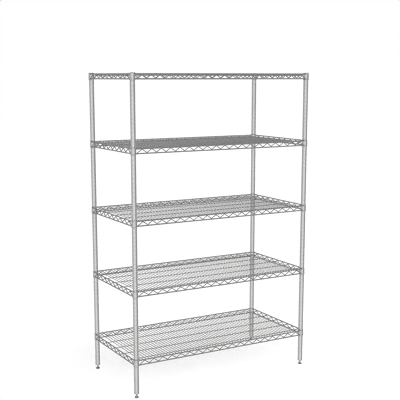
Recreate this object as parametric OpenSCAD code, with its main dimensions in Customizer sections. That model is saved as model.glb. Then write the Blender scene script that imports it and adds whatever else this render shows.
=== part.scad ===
// Free-standing wire shelving rack: four grooved tube posts, five welded wire
// shelves wedged on tapered split sleeves, and four screw-in levelling feet.
// Origin: centre of the footprint on the floor. X runs along the length,
// Y along the depth with the front at -Y, and Z is up. Millimetres.

/* [Posts] */
// Distance between post centres along the length
post_span_x = 1172; // [872:20:1472]
// Distance between post centres along the depth
post_span_y = 572; // [332:240:812]
// Outside diameter of a post tube
post_d = 28.6; // [27:0.1:30]
// Wall thickness of a post tube
post_wall = 1.2; // [1:0.1:1.6]
// Length of a post tube
post_len = 1824.2; // [1824.2:25.4:2129]
// Spacing of the ring grooves along a post
groove_pitch = 25.4; // [24:0.1:25.4]
// Height of the lowest groove above the lower end of the tube
groove_first = 8.5; // [8:0.1:20]
// Width of a ring groove
groove_w = 1.6; // [1.2:0.1:2]
// Depth of a ring groove
groove_depth = 0.4; // [0.3:0.05:0.5]

/* [Tiers] */
// Groove, counted from zero at the bottom, that carries the lowest shelf
first_level = 7; // [3:1:7]
// Number of grooves from one shelf to the next
tier_step = 16; // [12:1:16]

/* [Shelf] */
// Diameter of the rails round the edge of a shelf
rail_d = 6.3; // [5.5:0.1:7]
// Height between the centres of the upper and lower rails
truss_h = 28; // [24:0.5:32]
// How far the rails stand outside the line through the post centres
rail_out = 10.8; // [9.5:0.1:11.5]
// Diameter of the zigzag wire between the rails
zigzag_d = 4; // [3:0.1:4.5]
// Length of one zigzag bay along the front and back
bay_x = 59.7; // [54:0.1:66]
// Length of one zigzag bay along the two ends
bay_y = 60; // [59:0.1:60]
// Mat wires in each zigzag bay
wires_per_bay = 3; // [2:1:3]
// Diameter of the mat wires that run from front to back
mat_wire_d = 3.2; // [2.6:0.1:3.6]
// Diameter of the ribs that carry the mat wires
rib_d = 4; // [3.4:0.1:4.4]

/* [Collars and sleeves] */
// Height of a collar above the centre of the upper rail
collar_above = 4; // [3.5:0.1:5]
// Height of a collar below the centre of the lower rail
collar_below = 5; // [4:0.1:6]
// Wall thickness of a collar
collar_wall = 1; // [0.8:0.1:1.4]
// How far a collar's end beads stand proud of its wall
collar_bead = 0.4; // [0.2:0.1:0.6]
// Thickness of a sleeve at its upper, thin end
sleeve_thin = 0.75; // [0.7:0.05:0.9]
// Thickness of a sleeve at its lower, thick end
sleeve_thick = 1.5; // [1.3:0.05:1.8]
// How far a sleeve shows beyond each end of its collar
sleeve_show = 2; // [1:0.1:3]
// Gap between the two halves of a sleeve, in degrees
sleeve_gap = 4; // [2:1:8]

/* [Caps and feet] */
// Height of a post cap above the end of the tube
cap_h = 9; // [7:0.5:12]
// Length of the part of a cap inside the tube
cap_plug = 14; // [10:1:20]
// Height of the lower end of a tube above the floor
foot_drop = 25.2; // [22:0.2:36]
// Length of a threaded insert inside the tube
insert_len = 25; // [25:1:32]
// Diameter of a foot's threaded stud
stud_d = 9.5; // [8:0.1:10]
// Length of a foot's threaded stud
stud_len = 46; // [40:1:48]
// Diameter of a foot's round base
base_d = 25; // [24:1:30]
// Thickness of a foot's round base
base_h = 4.5; // [4.5:0.5:6]
// Height of the hexagon on a foot's base
hex_h = 5; // [4:0.5:6]
// Width of the hexagon across its flats
hex_af = 14; // [13:0.5:17]

/* [Hidden] */

// Clearance where one piece is held tight in another, and where wires are welded
fit_gap = 0.05;
weld_gap = 0.02;
// Facets of round shapes, which only set how finely they are drawn
fine = 48;

chrome = [0.80, 0.79, 0.79];
wire_grey = [0.62, 0.61, 0.61];
foot_grey = [0.42, 0.415, 0.41];
sleeve_grey = [0.62, 0.615, 0.61];
cap_grey = [0.72, 0.715, 0.71];
zinc = [0.55, 0.55, 0.56];

post_r = post_d / 2;
bore_r = post_r - post_wall;
groove_count = floor((post_len - groove_first - groove_w) / groove_pitch) + 1;

rail_y = post_span_y / 2 + rail_out;
rail_x = post_span_x / 2 + rail_out;
rail_r = rail_d / 2;

// Stack under the upper rail: mat wires touch the rail, ribs touch the mat wires
mat_z = -rail_r - mat_wire_d / 2 - weld_gap;
rib_z = mat_z - mat_wire_d / 2 - rib_d / 2 - weld_gap;

// Sleeve and collar heights are measured from the centre of the upper rail
collar_top = collar_above;
collar_low = -truss_h - collar_below;
sleeve_top = collar_top + sleeve_show;
sleeve_low = collar_low - sleeve_show;
ridge_z = (sleeve_top + sleeve_low) / 2;
ridge_w = groove_w - 0.4;
ridge_h = groove_depth - 0.05;
bead_h = 2.4;
collar_r = post_r + fit_gap + sleeve_thick + fit_gap + collar_wall;

// The zigzag ends beside the collars, at least this far from the post centre
zigzag_end = 15;
bays_x = floor((post_span_x - 2 * zigzag_end) / bay_x);
bays_y = floor((post_span_y - 2 * zigzag_end) / bay_y);
zigzag_r = zigzag_d / 2;
zigzag_z = -truss_h / 2;

cap_wall = 2;
cap_round = 2.5;
flange_h = 1.2;
flange_r = post_r - 0.3;
stud_sink = 6;
base_round = 1.2;

// Height of the upper rail's centre on a tier, counted from 1 at the bottom
function level(tier) = first_level + tier_step * (tier - 1);
function groove_z(n) = foot_drop + groove_first + groove_pitch * n;
function tier_z(tier) = groove_z(level(tier)) - ridge_z;

// Radius of the tapered surface that a sleeve and its collar share
function taper_r(z) = post_r + fit_gap + sleeve_thick
    + (sleeve_thin - sleeve_thick) * (z - sleeve_low) / (sleeve_top - sleeve_low);

// Height that a zigzag's centre line climbs over one leg, so that a bend of
// round wire fits between the rails: (h - rise)^2 = d^2 (1 + (rise / run)^2)
function zigzag_rise(run) =
    let(h = truss_h - rail_d - 2 * weld_gap, k = 1 - pow(zigzag_d / run, 2))
    (h - sqrt(h * h - k * (h * h - zigzag_d * zigzag_d))) / k;

// Points of a quarter arc, from angle a0 to angle a1 about centre c
function arc(c, r, a0, a1, steps = 8) =
    [for (i = [0:steps]) let(a = a0 + (a1 - a0) * i / steps) c + r * [cos(a), sin(a)]];

module at_corner(side_x, side_y) {
    translate([side_x * post_span_x / 2, side_y * post_span_y / 2, 0]) children();
}

module at_corners() {
    for (side_x = [-1, 1], side_y = [-1, 1]) at_corner(side_x, side_y) children();
}

// Straight wires centred on the origin
module wire_x(len, d) {
    rotate([0, 90, 0]) cylinder(h = len, d = d, center = true, $fn = fine);
}

module wire_y(len, d) {
    rotate([90, 0, 0]) cylinder(h = len, d = d, center = true, $fn = fine);
}

// Post tube with a ring groove at every level
module post() {
    notches = [for (n = [0:groove_count - 1])
        let(z = groove_first + groove_pitch * n)
        each [
            [post_r, z - groove_w / 2],
            [post_r - groove_depth, z - groove_w / 2],
            [post_r - groove_depth, z + groove_w / 2],
            [post_r, z + groove_w / 2]
        ]];
    outline = concat([[bore_r, 0], [post_r, 0]], notches, [[post_r, post_len], [bore_r, post_len]]);
    color(chrome) translate([0, 0, foot_drop]) rotate_extrude($fn = fine) polygon(outline);
}

// Cap that closes the top of a post: a thick head and a hollow plug
module cap() {
    plug_r = bore_r - fit_gap;
    outline = concat(
        [[0, 0], [0, cap_h]],
        arc([post_r - cap_round, cap_h - cap_round], cap_round, 90, 0),
        [
            [post_r, weld_gap],
            [plug_r, weld_gap],
            [plug_r, -cap_plug],
            [plug_r - cap_wall, -cap_plug],
            [plug_r - cap_wall, 0]
        ]
    );
    rotate_extrude($fn = fine) polygon(outline);
}

module caps() {
    color(cap_grey) translate([0, 0, foot_drop + post_len]) at_corners() cap();
}

// Threaded insert pressed into the lower end of a post
module insert() {
    hole_r = stud_d / 2 + fit_gap;
    outline = [
        [hole_r, -flange_h],
        [flange_r, -flange_h],
        [flange_r, -weld_gap],
        [bore_r - fit_gap, -weld_gap],
        [bore_r - fit_gap, insert_len],
        [hole_r, insert_len]
    ];
    rotate_extrude($fn = fine) polygon(outline);
}

module inserts() {
    color(zinc) translate([0, 0, foot_drop]) at_corners() insert();
}

// Threaded stud of a foot, drawn at its outer diameter with a chamfered tip
module stud() {
    tip = 1;
    low = base_h + hex_h - stud_sink;
    outline = [
        [0, low],
        [stud_d / 2, low],
        [stud_d / 2, low + stud_len - tip],
        [stud_d / 2 - tip, low + stud_len],
        [0, low + stud_len]
    ];
    color(zinc) rotate_extrude($fn = fine) polygon(outline);
}

// Base of a foot: a round pad with a hexagon for a spanner and a socket for the stud
module foot() {
    pad = concat(
        [[0, 0], [base_d / 2, 0]],
        arc([base_d / 2 - base_round, base_h - base_round], base_round, 0, 90),
        [[0, base_h]]
    );
    socket_low = base_h + hex_h - stud_sink - weld_gap;
    color(foot_grey) difference() {
        union() {
            rotate_extrude($fn = fine) polygon(pad);
            cylinder(h = base_h + hex_h, d = hex_af / cos(30), $fn = 6);
        }
        translate([0, 0, socket_low])
            cylinder(h = stud_sink + 1, r = stud_d / 2 + weld_gap, $fn = fine);
    }
}

// One half of a tapered sleeve, with the inner ridge that sits in a groove
module sleeve_half() {
    in_r = post_r + fit_gap;
    outline = [
        [in_r, sleeve_low],
        [taper_r(sleeve_low), sleeve_low],
        [taper_r(sleeve_top), sleeve_top],
        [in_r, sleeve_top],
        [in_r, ridge_z + ridge_w / 2],
        [in_r - fit_gap - ridge_h, ridge_z + ridge_w / 2],
        [in_r - fit_gap - ridge_h, ridge_z - ridge_w / 2],
        [in_r, ridge_z - ridge_w / 2]
    ];
    rotate_extrude(angle = 180 - sleeve_gap, start = sleeve_gap / 2, $fn = fine) polygon(outline);
}

// Both halves of the sleeve that carries one corner of a shelf
module sleeves(tier) {
    color(sleeve_grey) translate([0, 0, tier_z(tier)]) {
        sleeve_half();
        rotate([0, 0, 180]) sleeve_half();
    }
}

// Outside of a collar as radius and height, swollen by grow
function collar_side(grow) =
    let(t = fit_gap + collar_wall + grow, b = t + collar_bead)
    [
        [taper_r(collar_low) + b, collar_low],
        [taper_r(collar_low) + b, collar_low + bead_h],
        [taper_r(collar_low + bead_h) + t, collar_low + bead_h],
        [taper_r(collar_top - bead_h) + t, collar_top - bead_h],
        [taper_r(collar_top - bead_h) + b, collar_top - bead_h],
        [taper_r(collar_top - bead_h) + b, collar_top]
    ];

// Tapered collar that wedges on a sleeve
module collar() {
    outline = concat(
        [[taper_r(collar_low) + fit_gap, collar_low]],
        collar_side(0),
        [[taper_r(collar_top) + fit_gap, collar_top]]
    );
    rotate_extrude($fn = fine) polygon(outline);
}

module collars(tier) {
    color(chrome) translate([0, 0, tier_z(tier)]) at_corners() collar();
}

// Solid shape of a collar that trims the rail ends
module collar_cutter() {
    rotate_extrude($fn = fine)
        polygon(concat([[0, collar_low]], collar_side(weld_gap), [[0, collar_top]]));
}

// Upper and lower rails on all four sides, ending on the collars
module rails(tier) {
    color(wire_grey) translate([0, 0, tier_z(tier)]) for (z = [0, -truss_h], side = [-1, 1]) {
        difference() {
            translate([0, side * rail_y, z]) wire_x(post_span_x, rail_d);
            for (end = [-1, 1]) at_corner(end, side) collar_cutter();
        }
        difference() {
            translate([side * rail_x, 0, z]) wire_y(post_span_y, rail_d);
            for (end = [-1, 1]) at_corner(side, end) collar_cutter();
        }
    }
}

// One straight leg of a zigzag wire in the XZ plane, mitred at both ends
module leg(x, run, rise) {
    box_h = 4 * truss_h;
    intersection() {
        translate([x + run / 2, 0, zigzag_z]) rotate([0, atan2(run, rise), 0])
            cylinder(h = norm([run, rise]) + 2 * zigzag_d, d = zigzag_d, center = true, $fn = fine);
        translate([x, -zigzag_d, zigzag_z - box_h / 2]) cube([run, 2 * zigzag_d, box_h]);
    }
}

// Zigzag wire centred on x = 0, which starts and ends on the lower rail. Its
// mitred bends just reach both rails.
module zigzag(bays, bay) {
    run = bay / 2;
    rise = zigzag_rise(run);
    for (i = [0:2 * bays - 1])
        leg((i - bays) * run, run, i % 2 == 0 ? rise : -rise);
}

module zigzags(tier) {
    color(wire_grey) translate([0, 0, tier_z(tier)]) for (side = [-1, 1]) {
        translate([0, side * rail_y, 0]) zigzag(bays_x, bay_x);
        translate([side * rail_x, 0, 0]) rotate([0, 0, 90]) zigzag(bays_y, bay_y);
    }
}

// Ribs along the length, one at every second upper bend of the end zigzags
module ribs(tier) {
    len = 2 * (rail_x - zigzag_r - weld_gap);
    color(wire_grey) translate([0, 0, tier_z(tier) + rib_z])
        for (i = [0:2:bays_y - 1])
            translate([0, (i - (bays_y - 1) / 2) * bay_y, 0]) wire_x(len, rib_d);
}

// Mat wires from front to back, on the ribs and welded under the upper rails
module mat_wires(tier) {
    len = 2 * (rail_y - zigzag_r - weld_gap);
    pitch = bay_x / wires_per_bay;
    count = bays_x * wires_per_bay;
    color(wire_grey) translate([0, 0, tier_z(tier) + mat_z])
        for (i = [0:count - 1])
            translate([(i - (count - 1) / 2) * pitch, 0, 0]) wire_y(len, mat_wire_d);
}

at_corner(-1, -1) post();  // post_front_left
at_corner(1, -1) post();  // post_front_right
at_corner(-1, 1) post();  // post_rear_left
at_corner(1, 1) post();  // post_rear_right
caps();
inserts();
at_corner(-1, -1) stud();  // stud_front_left
at_corner(1, -1) stud();  // stud_front_right
at_corner(-1, 1) stud();  // stud_rear_left
at_corner(1, 1) stud();  // stud_rear_right
at_corner(-1, -1) foot();  // foot_front_left
at_corner(1, -1) foot();  // foot_front_right
at_corner(-1, 1) foot();  // foot_rear_left
at_corner(1, 1) foot();  // foot_rear_right
at_corner(-1, -1) sleeves(1);  // sleeves_front_left_1
at_corner(1, -1) sleeves(1);  // sleeves_front_right_1
at_corner(-1, 1) sleeves(1);  // sleeves_rear_left_1
at_corner(1, 1) sleeves(1);  // sleeves_rear_right_1
at_corner(-1, -1) sleeves(2);  // sleeves_front_left_2
at_corner(1, -1) sleeves(2);  // sleeves_front_right_2
at_corner(-1, 1) sleeves(2);  // sleeves_rear_left_2
at_corner(1, 1) sleeves(2);  // sleeves_rear_right_2
at_corner(-1, -1) sleeves(3);  // sleeves_front_left_3
at_corner(1, -1) sleeves(3);  // sleeves_front_right_3
at_corner(-1, 1) sleeves(3);  // sleeves_rear_left_3
at_corner(1, 1) sleeves(3);  // sleeves_rear_right_3
at_corner(-1, -1) sleeves(4);  // sleeves_front_left_4
at_corner(1, -1) sleeves(4);  // sleeves_front_right_4
at_corner(-1, 1) sleeves(4);  // sleeves_rear_left_4
at_corner(1, 1) sleeves(4);  // sleeves_rear_right_4
at_corner(-1, -1) sleeves(5);  // sleeves_front_left_5
at_corner(1, -1) sleeves(5);  // sleeves_front_right_5
at_corner(-1, 1) sleeves(5);  // sleeves_rear_left_5
at_corner(1, 1) sleeves(5);  // sleeves_rear_right_5
collars(1);  // collars_1
collars(2);  // collars_2
collars(3);  // collars_3
collars(4);  // collars_4
collars(5);  // collars_5
rails(1);  // rails_1
rails(2);  // rails_2
rails(3);  // rails_3
rails(4);  // rails_4
rails(5);  // rails_5
zigzags(1);  // zigzags_1
zigzags(2);  // zigzags_2
zigzags(3);  // zigzags_3
zigzags(4);  // zigzags_4
zigzags(5);  // zigzags_5
ribs(1);  // ribs_1
ribs(2);  // ribs_2
ribs(3);  // ribs_3
ribs(4);  // ribs_4
ribs(5);  // ribs_5
mat_wires(1);  // mat_wires_1
mat_wires(2);  // mat_wires_2
mat_wires(3);  // mat_wires_3
mat_wires(4);  // mat_wires_4
mat_wires(5);  // mat_wires_5
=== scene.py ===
import math

import bpy
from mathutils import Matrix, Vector


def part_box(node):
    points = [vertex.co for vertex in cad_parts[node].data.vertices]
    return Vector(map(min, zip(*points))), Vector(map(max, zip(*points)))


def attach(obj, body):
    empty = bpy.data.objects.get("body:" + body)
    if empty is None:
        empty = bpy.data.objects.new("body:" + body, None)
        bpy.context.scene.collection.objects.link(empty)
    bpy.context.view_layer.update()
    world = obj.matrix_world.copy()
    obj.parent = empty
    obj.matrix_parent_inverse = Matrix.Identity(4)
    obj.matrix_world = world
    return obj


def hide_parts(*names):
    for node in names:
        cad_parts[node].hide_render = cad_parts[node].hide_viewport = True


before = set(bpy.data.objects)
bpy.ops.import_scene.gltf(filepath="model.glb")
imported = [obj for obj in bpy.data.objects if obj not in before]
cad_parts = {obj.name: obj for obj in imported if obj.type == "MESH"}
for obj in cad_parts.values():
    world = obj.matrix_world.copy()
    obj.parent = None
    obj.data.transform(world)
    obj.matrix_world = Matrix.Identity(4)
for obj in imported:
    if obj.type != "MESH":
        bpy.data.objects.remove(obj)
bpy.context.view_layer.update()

# ---------------------------------------------------------------------------
# Sizes, in metres. What the frame holds is measured on it; the rest is named.
# ---------------------------------------------------------------------------
MM = 0.001
SHELVES = (1, 2, 3, 4, 5)
CORNERS = ("front_left", "front_right", "rear_left", "rear_right")

# Gap between pieces that touch
TOUCH = 0.02 * MM

# Roundness: sides of a wire and of a rail, segments of turned pieces, and the angle
# above which an edge stays sharp
WIRE_SIDES = 12
RAIL_SIDES = 16
TURNED_SEGMENTS = 64
FOOT_SEGMENTS = 72
STUD_SEGMENTS = 24
SHARP_ANGLE = math.radians(35)

# Welded wire. RIB_BAYS is the number of zigzag bays from one rib to the next.
WIRE_END_ROUND = 0.5 * MM
ZIGZAG_BEND = 4.5 * MM
BEND_STEPS = 6
RIB_BAYS = 2
MAT_WIRE_GAP = 4 * MM
RIB_GAP = 10 * MM

# Welds: how deep wires sink into each other, and how a rail's end flares, as shares
# of the reach and of the flare. Nuggets are given by their half sizes.
WELD_SINK = 0.3 * MM
WELD_FLARE = 1.1 * MM
WELD_REACH = 2.6 * MM
WELD_PROFILE = ((0, 1), (0.35, 0.3), (1, 0))
ZIGZAG_NUGGET = (3.2 * MM, 1.7 * MM, 1.1 * MM)
RIB_END_NUGGET = Vector((1.5, 2.4, 2.0)) * MM
RIB_END_LIFT = 0.6 * MM
CROSSING_NUGGET = Vector((1.5, 1.7, 0.7)) * MM
MAT_END_NUGGET = Vector((1.5, 1.3, 0.8)) * MM
MAT_END_INSET = 1.2 * MM

# Posts
GROOVE_PITCH = 25.4 * MM
GROOVE_FIRST = 8.5 * MM
GROOVE_HALF = 0.8 * MM
GROOVE_DEPTH = 0.4 * MM
GROOVE_SHARES = (-1.3, -1, -0.7, -0.4, 0, 0.4, 0.7, 1, 1.3)
POST_WALL = 1.2 * MM
POST_EDGE = 0.35 * MM

# Caps: the crown is given as radius and drop
CAP_CROWN = ((0.05 * MM, 0), (5 * MM, 0.05 * MM), (9 * MM, 0.2 * MM))
CAP_SHOULDER = 0.3 * MM
CAP_EDGE = 2.5 * MM
CAP_RIM = 0.5 * MM
CAP_FILLET = 0.1 * MM
CAP_WALL = 2 * MM
PLUG_CHAMFER = 0.8 * MM

# Collars and sleeves. BEAD_FOOT is the share of the bead that is left at its foot.
COLLAR_WALL = 1.0 * MM
COLLAR_EDGE = 0.5 * MM
COLLAR_FILLET = 0.8 * MM
COLLAR_MOUTH = 0.2 * MM
COLLAR_BEAD = 0.35 * MM
BEAD_HEIGHT = 2.4 * MM
BEAD_FOOT = 0.6
SLEEVE_THIN = 0.75 * MM
SLEEVE_THICK = 1.5 * MM
SLEEVE_EDGE = 0.3 * MM
SLEEVE_GAP = math.radians(4)
RIDGE_PLAY = 0.2 * MM
RIDGE_SLOPE = 0.1 * MM
SNUG = 0.05 * MM

# Inserts
INSERT_EDGE = 0.3 * MM
INSERT_CHAMFER = 0.6 * MM
FLANGE_EDGE = 0.1 * MM

# Feet
STUD_PITCH = 1.5875 * MM
STUD_TIP = 1.2 * MM
THREAD_DEPTH = 0.75 * MM
THREAD_STEPS = 8
BASE_HEIGHT = 4.5 * MM
BASE_EDGE = 1.2 * MM
BASE_CHAMFER = 0.6 * MM
RECESS_CENTRE, RECESS_RIM = 1.2 * MM, 1.0 * MM
RECESS_IN, RECESS_OUT = 4 * MM, 3 * MM
HEX_FLATS = 14.0 * MM
SOCKET_DEPTH = 6.0 * MM
SOCKET_CORE = 1 * MM
SOCKET_CHAMFER = 0.5 * MM
SOCKET_LIP = 0.4 * MM

# How far a foot's hexagon reaches out, by height above the base, and how far it is
# cut in, by depth below its top
HEX_FILLET = ((1.2 * MM, 0), (0.3 * MM, 0.1 * MM), (0, 0.4 * MM))
HEX_CHAMFER = ((0, 0.9 * MM), (0.9 * MM, 0.2 * MM), (1.6 * MM, 0))

# Looks. Colours are as seen on screen, because the view transform is Raw. grain is the
# scale of the fine noise, DRAWN_UP stretches it along a tube, and wear is how far edges
# are rubbed bright.
DRAWN_UP, EVEN = (1, 1, 0.03), (1, 1, 1)
DRIFT_SCALE, DRIFT_RANGE = 9.0, (0.3, 0.7)
PATCH_SCALE = 60.0
RUBBED_RANGE = (0.52, 0.62)
RUBBED_GAIN, RUBBED_LIFT = 1.25, 0.02
BUMP_DEPTH = 0.2 * MM
LOOKS = {
    "chrome_tube": {
        "dark": (0.715, 0.705, 0.705),
        "light": (0.735, 0.725, 0.725),
        "rough": (0.29, 0.33),
        "metallic": 1.0,
        "grain": 900,
        "stretch": DRAWN_UP,
        "bump": 0.03,
        "wear": 0.5,
    },
    "chrome_wire": {
        "dark": (0.535, 0.53, 0.53),
        "light": (0.575, 0.57, 0.57),
        "rough": (0.29, 0.35),
        "metallic": 1.0,
        "grain": 700,
        "stretch": EVEN,
        "bump": 0.05,
        "wear": 0.5,
    },
    # Rails: the wires' chrome painted lighter, a painted highlight that makes the rails read
    # brighter than the wires
    "chrome_rail_painted_lighter": {
        "dark": (0.585, 0.58, 0.58),
        "light": (0.625, 0.62, 0.62),
        "rough": (0.29, 0.35),
        "metallic": 1.0,
        "grain": 700,
        "stretch": EVEN,
        "bump": 0.05,
        "wear": 0.5,
    },
    "chrome_collar": {
        "dark": (0.69, 0.68, 0.68),
        "light": (0.72, 0.71, 0.71),
        "rough": (0.29, 0.34),
        "metallic": 1.0,
        "grain": 800,
        "stretch": EVEN,
        "bump": 0.04,
        "wear": 0.6,
    },
    "sleeve_plastic": {
        "dark": (0.60, 0.595, 0.59),
        "light": (0.66, 0.655, 0.65),
        "rough": (0.45, 0.62),
        "metallic": 0.0,
        "grain": 1500,
        "stretch": EVEN,
        "bump": 0.25,
        "wear": 0.3,
    },
    "cap_plastic": {
        "dark": (0.66, 0.65, 0.645),
        "light": (0.72, 0.71, 0.705),
        "rough": (0.38, 0.52),
        "metallic": 0.0,
        "grain": 1500,
        "stretch": EVEN,
        "bump": 0.25,
        "wear": 0.3,
    },
    "insert_steel": {
        "dark": (0.52, 0.52, 0.53),
        "light": (0.62, 0.62, 0.63),
        "rough": (0.30, 0.45),
        "metallic": 1.0,
        "grain": 900,
        "stretch": EVEN,
        "bump": 0.15,
        "wear": 0.5,
    },
    "stud_steel": {
        "dark": (0.80, 0.80, 0.80),
        "light": (0.88, 0.88, 0.88),
        "rough": (0.25, 0.40),
        "metallic": 1.0,
        "grain": 900,
        "stretch": EVEN,
        "bump": 0.15,
        "wear": 0.6,
    },
    "foot_plastic": {
        "dark": (0.54, 0.532, 0.528),
        "light": (0.60, 0.592, 0.588),
        "rough": (0.40, 0.55),
        "metallic": 0.0,
        "grain": 1200,
        "stretch": EVEN,
        "bump": 0.25,
        "wear": 0.3,
    },
}

# Camera. Its place is in units of the distance between the posts along the length. The
# shift is a share of the picture, and CAMERA_SHIFT_Y holds within SHIFT_ROOM of there.
CAMERA_FROM_NEAR_POST = Vector((-1.6831, -3.5526, 1.5643))
CAMERA_AZIMUTH = math.radians(-29.95)
CAMERA_PITCH = math.radians(10.0)
CAMERA_LENS, SENSOR_WIDTH = 75.0, 36.0
CAMERA_SHIFT_X = -0.0009
CAMERA_SHIFT_Y = 0.06
SHIFT_ROOM = 25 * MM

# Picture: width of the pixel filter in pixels, and how much it is sharpened after
PIXEL_BLUR = 1.6
SHARPEN = 0.09

# Floor: half its size, its squares to a side, its tones, and how far it glows by itself
FLOOR_HALF = 30.0
FLOOR_STEPS = 12
FLOOR_DRIFT = 2.0
FLOOR_DARK, FLOOR_LIGHT = (0.98, 0.98, 0.98), (1.0, 1.0, 1.0)
FLOOR_GLOW = 0.7
GLOW_POWER = 1.045

# Studio that the metal mirrors: grey levels by direction, as pairs of cosine and
# level. STUDIO_AIR is what matt surfaces get from it.
STUDIO_LEVEL = 1.25
STUDIO_DEPTH = ((-1.0, 0.75), (-0.3, 0.72), (0.6, 0.86), (1.0, 1.0))
STUDIO_SIDE = ((-1.0, 1.0), (0.78, 1.02), (0.96, 0.8), (1.0, 0.9))
STUDIO_HEIGHT = ((-1.0, 0.88), (-0.6, 0.94), (-0.3, 1.0), (0.0, 0.97), (0.25, 0.92), (1.0, 0.84))
STUDIO_AIR = 0.1

# Key light, and the shelves that shade it
KEY_POWER = 2.79
KEY_WIDTH = math.radians(33)
KEY_TILT = math.radians(14)
KEY_TURN = math.radians(-8)
KEY_SHELVES = (3, 4, 5)


def middle(node):
    low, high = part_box(node)
    return (low + high) / 2


def groups(node, axis, gap):
    """Centres of the clusters of a node's vertices along an axis, split at gaps."""
    values = sorted(v.co[axis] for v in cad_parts[node].data.vertices)
    centres, first, last = [], values[0], values[0]
    for value in values[1:] + [math.inf]:
        if value - last > gap:
            centres.append((first + last) / 2)
            first = value
        last = value
    return centres


POST_X, POST_Y = middle("post_front_right").x, middle("post_rear_right").y
POST_LOW, POST_HIGH = (corner.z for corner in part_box("post_front_left"))
POST_R = (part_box("post_front_left")[1].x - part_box("post_front_left")[0].x) / 2
STUD_R = (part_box("stud_front_left")[1].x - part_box("stud_front_left")[0].x) / 2


class Wirework:
    """Sizes of one welded shelf, read from its CAD nodes."""

    def __init__(self, tier):
        rails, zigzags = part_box(f"rails_{tier}"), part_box(f"zigzags_{tier}")
        mat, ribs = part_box(f"mat_wires_{tier}"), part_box(f"ribs_{tier}")
        collars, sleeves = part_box(f"collars_{tier}"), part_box(f"sleeves_{CORNERS[0]}_{tier}")
        rails_high = rails[1].z - rails[0].z
        self.rail_r = (rails_high - (zigzags[1].z - zigzags[0].z)) / 4
        self.truss_h = rails_high - 2 * self.rail_r
        self.rail_x = rails[1].x - self.rail_r
        self.rail_y = rails[1].y - self.rail_r
        self.zigzag_r = zigzags[1].y - self.rail_y
        self.z = rails[1].z - self.rail_r
        self.mat_r = (mat[1].z - mat[0].z) / 2
        self.mat_z = (mat[1].z + mat[0].z) / 2
        self.mat_x = groups(f"mat_wires_{tier}", 0, MAT_WIRE_GAP)
        self.mat_end = mat[1].y
        self.rib_r = (ribs[1].z - ribs[0].z) / 2
        self.rib_z = (ribs[1].z + ribs[0].z) / 2
        self.rib_y = groups(f"ribs_{tier}", 1, RIB_GAP)
        self.rib_end = ribs[1].x
        wire_pitch = (self.mat_x[-1] - self.mat_x[0]) / (len(self.mat_x) - 1)
        self.bays_y = RIB_BAYS * (len(self.rib_y) - 1) + 1
        self.bay_y = (self.rib_y[-1] - self.rib_y[0]) / (self.bays_y - 1)
        self.bays_x = round(len(self.mat_x) * wire_pitch / self.bay_y)
        self.bay_x = len(self.mat_x) * wire_pitch / self.bays_x
        self.collar_low, self.collar_top = collars[0].z, collars[1].z
        self.sleeve_low, self.sleeve_top = sleeves[0].z, sleeves[1].z

    def taper(self, z):
        """Radius of the cone that a sleeve and its collar share."""
        share = (z - self.sleeve_low) / (self.sleeve_top - self.sleeve_low)
        return POST_R + SNUG + SLEEVE_THICK + (SLEEVE_THIN - SLEEVE_THICK) * share

    def collar_r(self, z):
        bead = z > self.collar_top - BEAD_HEIGHT or z < self.collar_low + BEAD_HEIGHT
        return self.taper(z) + SNUG + COLLAR_WALL + (COLLAR_BEAD if bead else 0)


# ---------------------------------------------------------------------------
# Mesh building
# ---------------------------------------------------------------------------
class Shape:
    """Vertices and faces gathered for one piece."""

    def __init__(self):
        self.points, self.faces = [], []

    def skin(self, rings, around=True, loop=False, caps=True):
        """Joins rings of points by quads. Rings are closed if around, and the last
        ring joins the first if loop."""
        start, count = len(self.points), len(rings[0])
        for ring in rings:
            self.points.extend(ring)
        across = count if around else count - 1
        rows = len(rings) if loop else len(rings) - 1
        for i in range(rows):
            a, b = start + i * count, start + (i + 1) % len(rings) * count
            for j in range(across):
                k = (j + 1) % count
                self.faces.append((a + j, a + k, b + k, b + j))
        if caps and not loop:
            self.faces.append(tuple(range(start + count - 1, start - 1, -1)))
            last = start + (len(rings) - 1) * count
            self.faces.append(tuple(range(last, last + count)))
        if loop and not around:
            self.faces.append(tuple(start + i * count for i in range(len(rings))))
            self.faces.append(
                tuple(start + i * count + count - 1 for i in reversed(range(len(rings))))
            )

    def make(self, name, material):
        mesh = bpy.data.meshes.new(name)
        mesh.from_pydata([tuple(p) for p in self.points], [], self.faces)
        mesh.polygons.foreach_set("use_smooth", [True] * len(mesh.polygons))
        mesh.set_sharp_from_angle(angle=SHARP_ANGLE)
        mesh.materials.append(material)
        mesh.validate()
        mesh.update()
        piece = bpy.data.objects.new(name, mesh)
        bpy.context.scene.collection.objects.link(piece)
        return piece


def tube_ring(centre, radius, normal, across, sides):
    turn = 2 * math.pi / sides
    return [
        centre + normal * (radius * math.cos(i * turn)) + across * (radius * math.sin(i * turn))
        for i in range(sides)
    ]


def straight_wire(shape, start, end, radius, sides=WIRE_SIDES):
    """Straight round wire with softly rounded sawn ends."""
    along = (end - start).normalized()
    normal = Vector((0, 0, 1))
    across = along.cross(normal)
    soft = WIRE_END_ROUND
    stations = [(0, radius - soft), (0.3 * soft, radius - 0.3 * soft), (soft, radius)]
    length = (end - start).length
    stations += [(length - d, r) for d, r in reversed(stations)]
    shape.skin([tube_ring(start + along * d, r, normal, across, sides) for d, r in stations])


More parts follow.
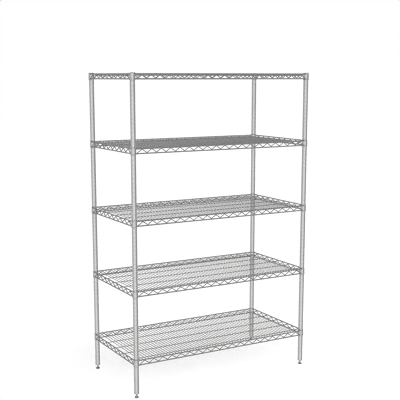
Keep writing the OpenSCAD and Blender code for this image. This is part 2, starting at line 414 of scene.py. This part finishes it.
def nugget(shape, centre, size, sides=8, rows=4):
    """Smooth weld nugget, an ellipsoid that fills the corner between two wires."""
    rings = []
    for i in range(1, rows):
        lift, girth = math.cos(math.pi * i / rows), math.sin(math.pi * i / rows)
        rings.append(
            [
                centre
                + Vector(
                    (
                        size.x * girth * math.cos(2 * math.pi * j / sides),
                        size.y * girth * math.sin(2 * math.pi * j / sides),
                        size.z * lift,
                    )
                )
                for j in range(sides)
            ]
        )
    start = len(shape.points)
    shape.skin(rings, caps=False)
    top, low = len(shape.points), len(shape.points) + 1
    shape.points += [centre + Vector((0, 0, size.z)), centre - Vector((0, 0, size.z))]
    last = start + (rows - 2) * sides
    for j in range(sides):
        k = (j + 1) % sides
        shape.faces.append((start + k, start + j, top))
        shape.faces.append((last + j, last + k, low))


def turned(shape, outline, centre, segments=TURNED_SEGMENTS, closed=True, scale=None):
    """Turns an outline of (radius, height) points about the vertical at centre."""
    rings = []
    for radius, height in outline:
        ring = []
        for i in range(segments):
            angle = 2 * math.pi * i / segments
            r = scale(radius, height, angle) if scale else radius
            ring.append(centre + Vector((r * math.cos(angle), r * math.sin(angle), height)))
        rings.append(ring)
    shape.skin(rings, loop=closed, caps=not closed)


def arc(centre, radius, start, end, steps):
    """Points of an arc in (radius, height), angles in degrees."""
    points = []
    for i in range(steps + 1):
        angle = math.radians(start + (end - start) * i / steps)
        points.append((centre[0] + radius * math.cos(angle), centre[1] + radius * math.sin(angle)))
    return points


def corner_spots():
    """Post centres as corner name to a point on the floor."""
    return {
        name: Vector((middle(f"post_{name}").x, middle(f"post_{name}").y, 0)) for name in CORNERS
    }


# ---------------------------------------------------------------------------
# Materials
# ---------------------------------------------------------------------------
class Nodes:
    """A short way to add and join shader nodes."""

    def __init__(self, tree):
        self.tree = tree
        self.tree.nodes.clear()

    def add(self, kind, inputs=None, **settings):
        made = self.tree.nodes.new(kind)
        for key, value in settings.items():
            setattr(made, key, value)
        for key, value in (inputs or {}).items():
            if isinstance(value, bpy.types.NodeSocket):
                self.tree.links.new(value, made.inputs[key])
            else:
                made.inputs[key].default_value = value
        return made

    def ramp(self, value, low, high, dark, light):
        made = self.add("ShaderNodeValToRGB", {"Fac": value})
        made.color_ramp.elements[0].position = low
        made.color_ramp.elements[1].position = high
        made.color_ramp.elements[0].color = (*dark, 1)
        made.color_ramp.elements[1].color = (*light, 1)
        return made.outputs["Color"]

    def along(self, way, axis, stops):
        """Grey level by the cosine between a direction and an axis. stops pairs each
        cosine with a level."""
        facing = self.add("ShaderNodeVectorMath", {0: way, 1: axis}, operation="DOT_PRODUCT")
        share = self.span(facing.outputs["Value"], 0, 1, -1, 1)
        made = self.add("ShaderNodeFloatCurve", {"Value": share})
        curve = made.mapping.curves[0]
        points = [((cosine + 1) / 2, level) for cosine, level in stops]
        for point, place in zip(curve.points, (points[0], points[-1])):
            point.location = place
        for place in points[1:-1]:
            curve.points.new(*place)
        for point in curve.points:
            point.handle_type = "AUTO_CLAMPED"
        made.mapping.update()
        return made.outputs["Value"]

    def times(self, a, b):
        return self.add("ShaderNodeMath", {0: a, 1: b}, operation="MULTIPLY").outputs["Value"]

    def span(self, value, low, high, from_low=0.0, from_high=1.0):
        ends = {"From Min": from_low, "From Max": from_high, "To Min": low, "To Max": high}
        made = self.add("ShaderNodeMapRange", {"Value": value, **ends})
        return made.outputs["Result"]

    def noise(self, place, scale, detail=4.0, stretch=(1, 1, 1)):
        mapped = self.add("ShaderNodeMapping", {"Vector": place, "Scale": stretch})
        made = self.add(
            "ShaderNodeTexNoise",
            {"Vector": mapped.outputs["Vector"], "Scale": scale, "Detail": detail},
        )
        return made.outputs["Fac"]


def finish_material(name, look):
    """Plated or moulded surface: drifting tone, patchy roughness, fine grain in the bump, and
    edges that are rubbed brighter."""
    material = bpy.data.materials.new(name)
    material.use_nodes = True
    n = Nodes(material.node_tree)
    place = n.add("ShaderNodeTexCoord").outputs["Object"]
    drift = n.noise(place, DRIFT_SCALE, 3.0)
    fine = n.noise(place, look["grain"], 5.0, look["stretch"])
    tone = n.ramp(drift, *DRIFT_RANGE, look["dark"], look["light"])
    edge = n.add("ShaderNodeNewGeometry").outputs["Pointiness"]
    rubbed = n.ramp(edge, *RUBBED_RANGE, (0, 0, 0), (look["wear"],) * 3)
    bright = tuple(min(1.0, c * RUBBED_GAIN + RUBBED_LIFT) for c in look["light"])
    colour = n.add(
        "ShaderNodeMix", {"Factor": rubbed, "A": tone, "B": (*bright, 1)}, data_type="RGBA"
    )
    roughness = n.span(n.noise(place, PATCH_SCALE, 4.0), *look["rough"])
    lift = n.add(
        "ShaderNodeBump", {"Strength": look["bump"], "Distance": BUMP_DEPTH, "Height": fine}
    )
    surface = n.add(
        "ShaderNodeBsdfPrincipled",
        {
            "Base Color": colour.outputs["Result"],
            "Metallic": look["metallic"],
            "Roughness": roughness,
            "Normal": lift.outputs["Normal"],
        },
    )
    n.add("ShaderNodeOutputMaterial", {"Surface": surface.outputs["BSDF"]})
    return material


def make_materials():
    return {name: finish_material(name, look) for name, look in LOOKS.items()}


def stand_for(shape, node, piece_name, body, look, materials):
    """Makes the gathered shape into a piece that stands for a CAD node. Rails get the wires'
    chrome painted lighter, a painted highlight, and count as wire for the mirror images. Wires and
    rails are left out of the mirror images in the other metal."""
    # Rails carry a painted highlight: a lighter copy of the wires' chrome
    slot = "chrome_wire" if look == "chrome_rail_painted_lighter" else look
    piece = shape.make(piece_name, materials[look])
    piece.visible_glossy = slot != "chrome_wire"
    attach(piece, body)
    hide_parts(node)


# ---------------------------------------------------------------------------
# Posts, caps, inserts and feet
# ---------------------------------------------------------------------------
def post_outline():
    """Outside of the tube with its ring grooves, then the bore."""
    length = POST_HIGH - POST_LOW
    soft = POST_EDGE
    outline = arc((POST_R - soft, soft), soft, -90, 0, 3)
    count = int((length - GROOVE_FIRST - 2 * GROOVE_HALF) / GROOVE_PITCH) + 1
    for n in range(count):
        z = GROOVE_FIRST + n * GROOVE_PITCH
        for share in GROOVE_SHARES:
            dip = 0.5 + 0.5 * math.cos(math.pi * share) if abs(share) < 1 else 0
            outline.append((POST_R - GROOVE_DEPTH * dip, z + GROOVE_HALF * share))
    outline += arc((POST_R - soft, length - soft), soft, 0, 90, 3)
    bore = POST_R - POST_WALL
    outline += [(bore + soft, length), (bore, length - soft), (bore, soft), (bore + soft, 0)]
    return outline


def add_posts(spots, materials):
    outline = post_outline()
    for name, spot in spots.items():
        shape = Shape()
        turned(shape, outline, spot + Vector((0, 0, POST_LOW)))
        stand_for(shape, f"post_{name}", f"tube_{name}", "frame", "chrome_tube", materials)


def add_caps(spots, materials):
    low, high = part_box("caps")
    head, plug = high.z - POST_HIGH, POST_HIGH - low.z
    plug_r, soft = POST_R - POST_WALL - SNUG, CAP_EDGE
    bore = plug_r - CAP_WALL
    outline = (
        [(radius, head - drop) for radius, drop in CAP_CROWN]
        + arc((POST_R - soft, head - CAP_SHOULDER - soft), soft, 84, 0, 6)
        + [(POST_R, CAP_RIM), (POST_R - CAP_SHOULDER, TOUCH), (plug_r + CAP_FILLET, TOUCH)]
        + [(plug_r, -CAP_SHOULDER), (plug_r, PLUG_CHAMFER - plug), (plug_r - PLUG_CHAMFER, -plug)]
        + [(bore, -plug), (bore, -CAP_WALL), (CAP_CROWN[0][0], -CAP_WALL)]
    )
    shape = Shape()
    for spot in spots.values():
        turned(shape, outline, spot + Vector((0, 0, POST_HIGH)), closed=False)
    stand_for(shape, "caps", "post_caps", "frame", "cap_plastic", materials)


def add_feet(spots, materials):
    """Round pad with a chamfered hexagon, and a stud with a true spiral thread."""
    for name, spot in spots.items():
        low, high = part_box(f"foot_{name}")
        base_r, top = (high.x - low.x) / 2, high.z
        stud_low, stud_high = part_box(f"stud_{name}")

        def hexagon(radius, height, angle):
            """Cuts the outline to six flats, except on the base and in the socket."""
            if height < BASE_HEIGHT + SNUG or radius < STUD_R + 2 * SNUG:
                return radius
            sector = math.radians(60)
            off = (angle + sector / 2) % sector - sector / 2
            return min(radius, HEX_FLATS / 2 / math.cos(off))

        hex_r = HEX_FLATS / 2 / math.cos(math.radians(30))
        soft, socket = BASE_EDGE, STUD_R + TOUCH
        outline = (
            [(socket, top - SOCKET_DEPTH), (SOCKET_CORE, top - SOCKET_DEPTH)]
            + [(SOCKET_CORE, RECESS_CENTRE), (base_r - RECESS_IN, RECESS_RIM)]
            + [(base_r - RECESS_OUT, 0), (base_r - BASE_CHAMFER, 0), (base_r, BASE_CHAMFER)]
            + arc((base_r - soft, BASE_HEIGHT - soft), soft, 0, 70, 5)
            + [(hex_r + out, BASE_HEIGHT + up) for out, up in HEX_FILLET]
            + [(hex_r - cut, top - down) for cut, down in HEX_CHAMFER]
            + [(STUD_R + SOCKET_CHAMFER, top), (socket, top - SOCKET_LIP)]
        )
        shape = Shape()
        turned(shape, outline, spot, FOOT_SEGMENTS, scale=hexagon)
        body = f"levelling_foot_{name}"
        stand_for(shape, f"foot_{name}", f"foot_pad_{name}", body, "foot_plastic", materials)

        stud = Shape()
        rings = []
        rows = int((stud_high.z - stud_low.z) / STUD_PITCH * THREAD_STEPS)
        for i in range(rows + 1):
            z = stud_low.z + (stud_high.z - stud_low.z) * i / rows
            ring = []
            for j in range(STUD_SEGMENTS):
                angle = 2 * math.pi * j / STUD_SEGMENTS
                phase = (z / STUD_PITCH - angle / (2 * math.pi)) % 1
                r = STUD_R - THREAD_DEPTH * (0.5 + 0.5 * math.cos(2 * math.pi * phase))
                r = min(r, STUD_R - STUD_TIP + (stud_high.z - z))
                ring.append(spot + Vector((r * math.cos(angle), r * math.sin(angle), z)))
            rings.append(ring)
        stud.skin(rings)
        stand_for(stud, f"stud_{name}", f"foot_stud_{name}", body, "stud_steel", materials)


def add_inserts(spots, materials):
    """Flanged inserts with rounded rims and a chamfered threaded hole."""
    low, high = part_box("inserts")
    flange, length = POST_LOW - low.z, high.z - POST_LOW
    flange_r = (high.x - low.x) / 2 - POST_X
    hole_r, body_r, soft = STUD_R + SNUG, POST_R - POST_WALL - SNUG, INSERT_EDGE
    outline = (
        arc((flange_r - soft, soft - flange), soft, -90, 0, 3)
        + [(flange_r, -TOUCH - FLANGE_EDGE), (flange_r - FLANGE_EDGE, -TOUCH)]
        + [(body_r, -TOUCH), (body_r, length - soft), (body_r - soft, length)]
        + [(hole_r + soft, length), (hole_r, length - soft)]
        + [(hole_r, INSERT_CHAMFER - flange), (hole_r + INSERT_CHAMFER, -flange)]
    )
    shape = Shape()
    for spot in spots.values():
        turned(shape, outline, spot + Vector((0, 0, POST_LOW)))
    stand_for(shape, "inserts", "post_inserts", "frame", "insert_steel", materials)


# ---------------------------------------------------------------------------
# Sleeves and collars
# ---------------------------------------------------------------------------
def add_sleeves(tier, spots, materials):
    """Two tapered half sleeves on each post, with softened rims and the inner ridge."""
    w = Wirework(tier)
    low, top = w.sleeve_low, w.sleeve_top
    inside, soft = POST_R + SNUG, SLEEVE_EDGE
    ridge, half = (low + top) / 2, GROOVE_HALF - RIDGE_PLAY
    outline = [
        (inside, low + soft),
        (inside + soft, low),
        (w.taper(low) - soft, low),
        (w.taper(low), low + soft),
        (w.taper(top), top - soft),
        (w.taper(top) - soft, top),
        (inside + soft, top),
        (inside, top - soft),
        (inside, ridge + half),
        (inside - GROOVE_DEPTH + SNUG, ridge + half - RIDGE_SLOPE),
        (inside - GROOVE_DEPTH + SNUG, ridge - half + RIDGE_SLOPE),
        (inside, ridge - half),
    ]
    steps = TURNED_SEGMENTS // 2
    for name, spot in spots.items():
        shape = Shape()
        for turn in (0, math.pi):
            rings = []
            for radius, height in outline:
                ring = []
                for i in range(steps + 1):
                    angle = turn + SLEEVE_GAP / 2 + (math.pi - SLEEVE_GAP) * i / steps
                    x, y = radius * math.cos(angle), radius * math.sin(angle)
                    ring.append(spot + Vector((x, y, height)))
                rings.append(ring)
            shape.skin(rings, around=False, loop=True)
        node, piece = f"sleeves_{name}_{tier}", f"split_sleeve_{name}_{tier}"
        stand_for(shape, node, piece, "frame", "sleeve_plastic", materials)


def collar_outline(w):
    """A cone with a bead round each end. Its bore follows the sleeves."""
    low, top, bead = w.collar_low, w.collar_top, BEAD_HEIGHT
    soft, fillet, mouth = COLLAR_EDGE, COLLAR_FILLET, COLLAR_MOUTH
    low_r = w.taper(low) + SNUG + COLLAR_WALL
    top_r = w.taper(top - bead) + SNUG + COLLAR_WALL
    return (
        [(w.taper(low) + SNUG + mouth, low)]
        + arc((low_r + COLLAR_BEAD - soft, low + soft), soft, -90, 0, 4)
        + [(low_r + COLLAR_BEAD, low + bead - soft)]
        + [(low_r + BEAD_FOOT * COLLAR_BEAD, low + bead - mouth)]
        + [(w.collar_r(low + bead + fillet), low + bead + fillet)]
        + [(w.collar_r((low + top) / 2), (low + top) / 2)]
        + [(w.collar_r(top - bead - fillet), top - bead - fillet)]
        + [(top_r + BEAD_FOOT * COLLAR_BEAD, top - bead + mouth)]
        + [(top_r + COLLAR_BEAD, top - bead + soft)]
        + arc((top_r + COLLAR_BEAD - soft, top - soft), soft, 0, 90, 4)
        + [(w.taper(top) + SNUG + mouth, top), (w.taper(top) + SNUG, top - mouth)]
        + [(w.taper(low) + SNUG, low + mouth)]
    )


def add_collars(tier, spots, materials):
    w = Wirework(tier)
    shape = Shape()
    for spot in spots.values():
        turned(shape, collar_outline(w), spot)
    node, piece = f"collars_{tier}", f"corner_collars_{tier}"
    stand_for(shape, node, piece, f"shelf_{tier}", "chrome_collar", materials)


# ---------------------------------------------------------------------------
# Welded wire
# ---------------------------------------------------------------------------
def rail(shape, w, spread, offset, z, along, out):
    """Rail between two collars. Each end is scribed to the collar and flares into
    its weld. spread is half the distance between the post centres, and offset holds
    how far out the posts stand and how far the rail stands from them."""
    post_line, inset = offset
    ends = []
    for end in (-1, 1):
        rings = []
        for back, grow in WELD_PROFILE:
            r = w.rail_r + grow * WELD_FLARE
            ring = []
            for i in range(RAIL_SIDES):
                angle = 2 * math.pi * i / RAIL_SIDES
                side, lift = r * math.cos(angle), r * math.sin(angle)
                wall = w.collar_r(min(max(z + lift, w.collar_low), w.collar_top)) - WELD_SINK
                reach = math.sqrt(max(wall**2 - (inset + side) ** 2, 0))
                station = along * (end * (spread - reach - back * WELD_REACH))
                ring.append(station + out * (post_line + inset + side) + Vector((0, 0, z + lift)))
            rings.append(ring)
        ends.append(rings)
    shape.skin(ends[0] + ends[1][::-1])


def add_rails(tier, materials):
    w = Wirework(tier)
    shape = Shape()
    x, y = Vector((1, 0, 0)), Vector((0, 1, 0))
    for z in (w.z, w.z - w.truss_h):
        for side in (-1, 1):
            rail(shape, w, POST_X, (POST_Y, w.rail_y - POST_Y), z, x, y * side)
            rail(shape, w, POST_Y, (POST_X, w.rail_x - POST_X), z, y, x * side)
    node, piece = f"rails_{tier}", f"rim_rails_{tier}"
    # The rails' chrome is the wires' chrome painted lighter, a painted highlight
    stand_for(shape, node, piece, f"shelf_{tier}", "chrome_rail_painted_lighter", materials)


def zigzag_path(bays, bay, top, low):
    """Centre line of a zigzag as (distance, height, slope) from one end to the other."""
    bend = ZIGZAG_BEND
    reach = math.hypot(bay / 2, top - low - 2 * bend)
    lean = math.atan2(top - low - 2 * bend, bay / 2) + math.asin(2 * bend / reach)
    path = []
    for i in range(2 * bays + 1):
        upper = i % 2 == 1
        centre = -bays * bay / 2 + i * bay / 2
        first = 0 if i == 0 else -lean
        last = 0 if i == 2 * bays else lean
        for step in range(BEND_STEPS + 1):
            turn = first + (last - first) * step / BEND_STEPS
            if upper:
                height, slope = top - bend + bend * math.cos(turn), -turn
            else:
                height, slope = low + bend - bend * math.cos(turn), turn
            path.append((centre + bend * math.sin(turn), height, slope))
    return path


def zigzag(shape, w, bays, bay, along, out):
    """Bent wire between the two rails of one side, with a weld at each bend."""
    up = Vector((0, 0, 1))
    top = w.z - w.rail_r - w.zigzag_r + WELD_SINK
    low = w.z - w.truss_h + w.rail_r + w.zigzag_r - WELD_SINK
    rings = []
    for distance, height, slope in zigzag_path(bays, bay, top, low):
        centre = out + along * distance + up * height
        normal = up * math.cos(slope) - along * math.sin(slope)
        across = normal.cross(along * math.cos(slope) + up * math.sin(slope))
        rings.append(tube_ring(centre, w.zigzag_r, normal, across, WIRE_SIDES))
    shape.skin(rings)
    half_along, half_out, half_up = ZIGZAG_NUGGET
    size = along * half_along + out.normalized() * half_out + up * half_up
    size = Vector(map(abs, size))
    for i in range(2 * bays + 1):
        upper = i % 2 == 1
        touch = w.z - w.rail_r if upper else w.z - w.truss_h + w.rail_r
        nugget(shape, out + along * (i - bays) * bay / 2 + up * touch, size)


def add_zigzags(tier, materials):
    w = Wirework(tier)
    shape = Shape()
    x, y = Vector((1, 0, 0)), Vector((0, 1, 0))
    for side in (-1, 1):
        zigzag(shape, w, w.bays_x, w.bay_x, x, y * side * w.rail_y)
        zigzag(shape, w, w.bays_y, w.bay_y, y, x * side * w.rail_x)
    node, piece = f"zigzags_{tier}", f"zigzag_wires_{tier}"
    stand_for(shape, node, piece, f"shelf_{tier}", "chrome_wire", materials)


def add_ribs(tier, materials):
    w = Wirework(tier)
    shape = Shape()
    for y in w.rib_y:
        left, right = Vector((-w.rib_end, y, w.rib_z)), Vector((w.rib_end, y, w.rib_z))
        straight_wire(shape, left, right, w.rib_r)
        for end in (left, right):
            nugget(shape, Vector((end.x, y, w.rib_z + RIB_END_LIFT)), RIB_END_NUGGET)
    node, piece = f"ribs_{tier}", f"rib_wires_{tier}"
    stand_for(shape, node, piece, f"shelf_{tier}", "chrome_wire", materials)


def add_mat(tier, materials):
    """Mat wires with a weld nugget on each rib and under each upper rail."""
    w = Wirework(tier)
    shape = Shape()
    rib_touch = w.mat_z - w.mat_r
    rail_touch = w.mat_z + w.mat_r
    for x in w.mat_x:
        front, rear = Vector((x, -w.mat_end, w.mat_z)), Vector((x, w.mat_end, w.mat_z))
        straight_wire(shape, front, rear, w.mat_r)
        for y in w.rib_y:
            nugget(shape, Vector((x, y, rib_touch)), CROSSING_NUGGET)
        for side in (-1, 1):
            y = side * (w.mat_end - MAT_END_INSET)
            nugget(shape, Vector((x, y, rail_touch)), MAT_END_NUGGET)
    node, piece = f"mat_wires_{tier}", f"mat_{tier}"
    stand_for(shape, node, piece, f"shelf_{tier}", "chrome_wire", materials)


# ---------------------------------------------------------------------------
# Studio
# ---------------------------------------------------------------------------
def add_floor():
    """Plain floor, nearly white, that partly glows so that it melts into the backdrop."""
    half, steps = FLOOR_HALF, FLOOR_STEPS
    shape = Shape()
    for i in range(steps + 1):
        for j in range(steps + 1):
            x, y = half * (2 * i / steps - 1), half * (2 * j / steps - 1)
            shape.points.append(Vector((x, y, 0)))
    for i in range(steps):
        for j in range(steps):
            a = i * (steps + 1) + j
            shape.faces.append((a, a + steps + 1, a + steps + 2, a + 1))
    material = bpy.data.materials.new("pale_floor")
    material.use_nodes = True
    n = Nodes(material.node_tree)
    place = n.add("ShaderNodeTexCoord").outputs["Object"]
    tone = n.ramp(n.noise(place, FLOOR_DRIFT), *DRIFT_RANGE, FLOOR_DARK, FLOOR_LIGHT)
    matt = n.add("ShaderNodeBsdfPrincipled", {"Base Color": tone, "Roughness": 0.9})
    glow = n.add("ShaderNodeEmission", {"Color": (1, 1, 1, 1), "Strength": GLOW_POWER})
    both = n.add(
        "ShaderNodeMixShader",
        {0: FLOOR_GLOW, 1: matt.outputs["BSDF"], 2: glow.outputs["Emission"]},
    )
    n.add("ShaderNodeOutputMaterial", {"Surface": both.outputs["Shader"]})
    floor = shape.make("studio_floor", material)
    floor.visible_glossy = False


def add_world():
    """White backdrop. What the metal mirrors is a grey studio, lightest on the
    camera's side and darkest overhead and at the right."""
    world = bpy.data.worlds.new("studio")
    bpy.context.scene.world = world
    world.use_nodes = True
    n = Nodes(world.node_tree)
    way = n.add("ShaderNodeTexCoord").outputs["Generated"]
    to_camera = (math.sin(CAMERA_AZIMUTH), -math.cos(CAMERA_AZIMUTH), 0)
    to_right = (math.cos(CAMERA_AZIMUTH), math.sin(CAMERA_AZIMUTH), 0)
    level = n.along(way, to_camera, STUDIO_DEPTH)
    level = n.times(level, n.along(way, to_right, STUDIO_SIDE))
    level = n.times(level, n.along(way, (0, 0, 1), STUDIO_HEIGHT))
    level = n.times(level, STUDIO_LEVEL)
    path = n.add("ShaderNodeLightPath")
    for kind, plain in (("Is Diffuse Ray", STUDIO_AIR), ("Is Camera Ray", 1.0)):
        mixed = {"Factor": path.outputs[kind], "A": level, "B": plain}
        level = n.add("ShaderNodeMix", mixed, data_type="FLOAT").outputs["Result"]
    light = n.add("ShaderNodeBackground", {"Color": (1, 1, 1, 1), "Strength": level})
    n.add("ShaderNodeOutputWorld", {"Surface": light.outputs["Background"]})


def add_key():
    """One broad soft light from above, which the metal doesn't mirror. Only the upper
    shelves shade it, which keeps the shadow on the floor compact."""
    data = bpy.data.lights.new("soft_key", "SUN")
    data.energy = KEY_POWER
    data.angle = KEY_WIDTH
    key = bpy.data.objects.new("soft_key", data)
    key.rotation_euler = (KEY_TILT, 0, KEY_TURN)
    key.visible_glossy = False
    bpy.context.scene.collection.objects.link(key)
    blockers = bpy.data.collections.new("key_blockers")
    for tier in KEY_SHELVES:
        for kind in ("rim_rails", "zigzag_wires", "rib_wires", "mat"):
            blockers.objects.link(bpy.data.objects[f"{kind}_{tier}"])
    key.light_linking.blocker_collection = blockers


def add_sharpening():
    """Crisp lines like the photo's, without the stripes that a narrow pixel filter
    gives on fine wire."""
    scene = bpy.context.scene
    scene.use_nodes = True
    n = Nodes(scene.node_tree)
    picture = n.add("CompositorNodeRLayers").outputs["Image"]
    crisp = n.add(
        "CompositorNodeFilter", {"Fac": SHARPEN, "Image": picture}, filter_type="SHARPEN_DIAMOND"
    )
    n.add("CompositorNodeComposite", {"Image": crisp.outputs["Image"]})


def shift_at_photo_place(camera):
    """Upward lens shift, which holds only while the camera stands at the photo's
    place, so that views from other sides stay centred. Keys less than 0.01 apart
    would merge."""
    curve = camera.data.driver_add("shift_y")
    for modifier in list(curve.modifiers):
        curve.modifiers.remove(modifier)
    curve.driver.type = "SUM"
    place = curve.driver.variables.new()
    place.type = "TRANSFORMS"
    place.targets[0].id = camera
    place.targets[0].transform_type = "LOC_X"
    for steps, share in ((-2, 0), (-1, 1), (1, 1), (2, 0)):
        x = camera.location.x + steps * SHIFT_ROOM
        curve.keyframe_points.insert(x, share * CAMERA_SHIFT_Y).interpolation = "LINEAR"
    curve.extrapolation = "CONSTANT"


def add_camera():
    data = bpy.data.cameras.new("camera")
    data.lens = CAMERA_LENS
    data.sensor_width = SENSOR_WIDTH
    data.shift_x = CAMERA_SHIFT_X
    camera = bpy.data.objects.new("camera", data)
    near = Vector((-POST_X, -POST_Y, 0))
    camera.location = near + CAMERA_FROM_NEAR_POST * (2 * POST_X)
    camera.rotation_euler = (math.pi / 2 - CAMERA_PITCH, 0, CAMERA_AZIMUTH)
    bpy.context.scene.collection.objects.link(camera)
    bpy.context.scene.camera = camera
    shift_at_photo_place(camera)


def build():
    materials = make_materials()
    spots = corner_spots()
    add_posts(spots, materials)
    add_caps(spots, materials)
    add_feet(spots, materials)
    add_inserts(spots, materials)
    for tier in SHELVES:
        add_sleeves(tier, spots, materials)
        add_collars(tier, spots, materials)
        add_rails(tier, materials)
        add_zigzags(tier, materials)
        add_ribs(tier, materials)
        add_mat(tier, materials)
    add_floor()
    add_world()
    add_key()
    add_camera()
    scene = bpy.context.scene
    scene.view_settings.view_transform = "Raw"
    scene.cycles.filter_width = PIXEL_BLUR
    scene.cycles.denoising_prefilter = "NONE"  # keeps the fine wire of the mats
    add_sharpening()


build()
